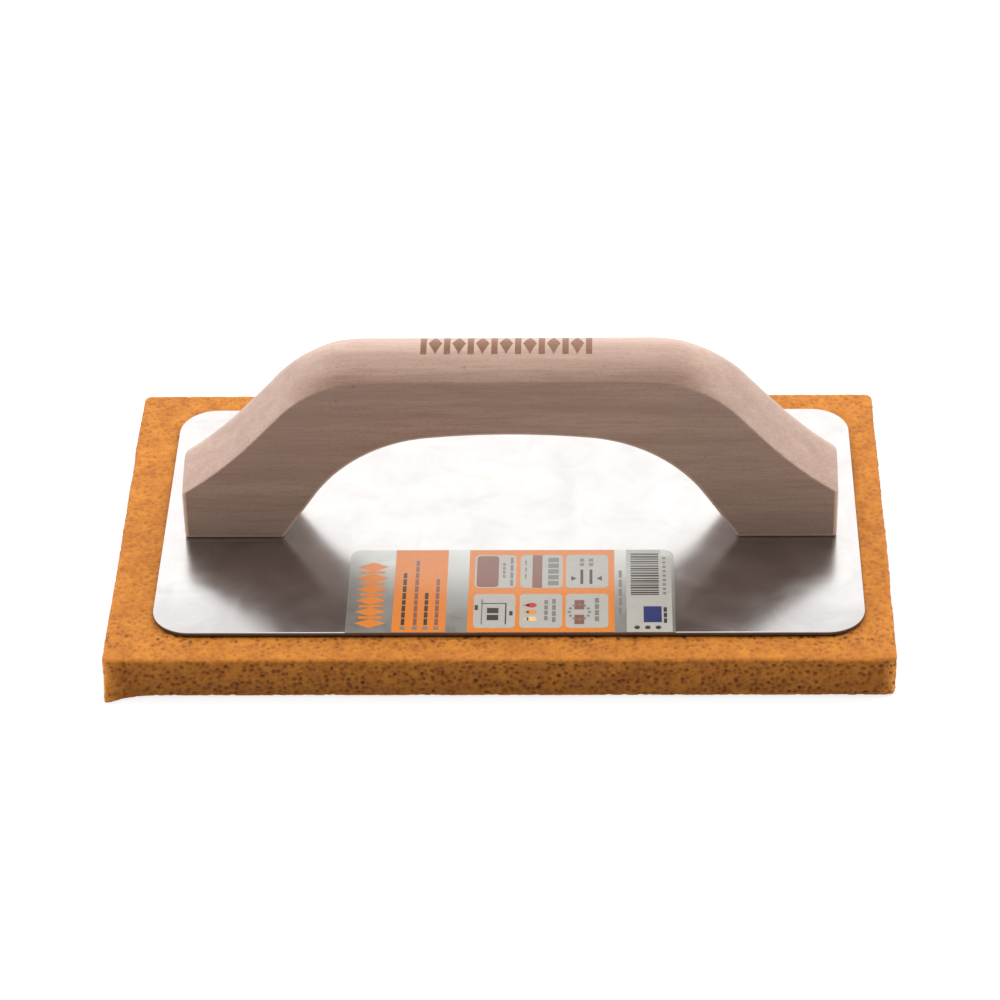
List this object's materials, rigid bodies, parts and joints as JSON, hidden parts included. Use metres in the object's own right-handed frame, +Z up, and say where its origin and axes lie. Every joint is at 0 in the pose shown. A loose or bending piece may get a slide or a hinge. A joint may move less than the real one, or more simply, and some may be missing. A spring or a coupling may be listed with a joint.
{
  "type": "grout float",
  "caption": "Hand float for washing and spreading grout: a thick cellular rubber pad glued under a round-cornered metal plate, with an arched wooden handle screwed on top.",
  "frame": {"origin": "middle of the pad's working face, which is the bottom of the float's box", "axes": "+X along the float, +Y to its back edge, +Z up from the working face to the grip"},
  "size_m": [0.24, 0.14, 0.081],
  "materials": {
    "foam_rubber": "open-celled orange cellular rubber, cut faces",
    "contact_adhesive": "dried amber film",
    "plate_aluminium": "satin rolled sheet with a polished rim",
    "beech": "sanded beech, waxed",
    "screw_steel": "yellow zinc plated",
    "label_foil": "printed self-adhesive foil"
  },
  "bodies": {
    "root": {"foam_pad": "foam_rubber", "pad_adhesive": "contact_adhesive", "backing_plate": "plate_aluminium", "wood_handle": "beech", "screw_left_outer": "screw_steel", "screw_left_inner": "screw_steel", "screw_right_inner": "screw_steel", "screw_right_outer": "screw_steel", "plate_label": "label_foil"}
  },
  "joints": []
}
